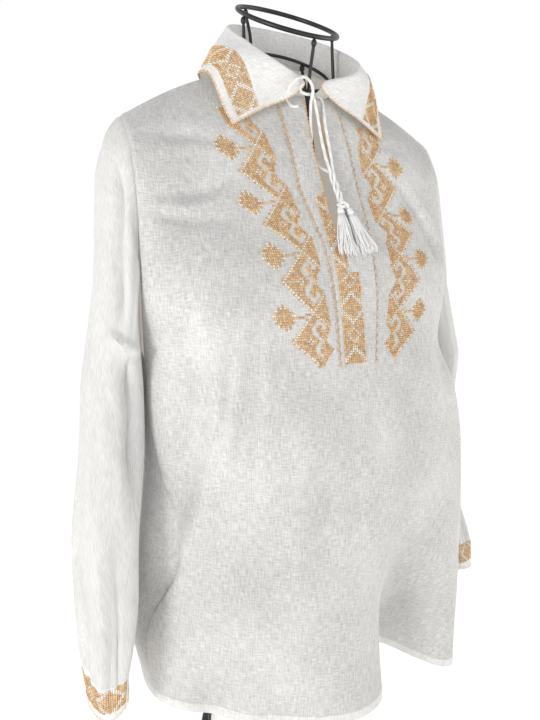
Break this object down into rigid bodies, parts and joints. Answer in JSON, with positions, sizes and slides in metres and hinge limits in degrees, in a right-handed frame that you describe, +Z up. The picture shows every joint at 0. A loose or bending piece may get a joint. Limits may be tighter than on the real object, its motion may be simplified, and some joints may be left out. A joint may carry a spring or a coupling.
{
  "type": "tunic on a wire dress form",
  "caption": "Loose long-sleeved embroidered tunic with a fold-down collar, open neck slit, tasselled tie and band cuffs, worn by an open wire dress form on a foot ring.",
  "frame": {"origin": "middle of the bounding box in plan, at the underside of the form's foot ring, which is the floor", "axes": "+Z up, the front of the tunic faces -Y, the wearer's right side is -X"},
  "size_m": [0.5766, 0.2662, 0.8707],
  "materials": {
    "white_gauze": "slubby plain-weave cotton gauze, slightly see-through",
    "white_cord": "soft twisted cotton cord",
    "black_wire": "satin black paint on steel wire"
  },
  "bodies": {
    "root": {"tunic_front": "white_gauze", "tunic_back": "white_gauze", "sleeve_right": "white_gauze", "sleeve_left": "white_gauze", "cuff_right": "white_gauze", "cuff_left": "white_gauze", "placket": "white_gauze", "collar": "white_gauze", "tie_right": "white_cord", "tie_middle": "white_cord", "tie_left": "white_cord", "tassel_right": "white_cord", "tassel_left": "white_cord", "form_neck_ring": "black_wire", "form_hoop_neck": "black_wire", "form_hoop_bust": "black_wire", "form_hoop_waist": "black_wire", "form_foot_ring": "black_wire", "form_rib_front": "black_wire", "form_rib_side_left": "black_wire", "form_rib_side_right": "black_wire", "form_rib_back_right": "black_wire", "form_rib_front_left": "black_wire", "form_rib_front_right": "black_wire", "form_rib_back_left": "black_wire", "form_rib_back": "black_wire"}
  },
  "joints": []
}
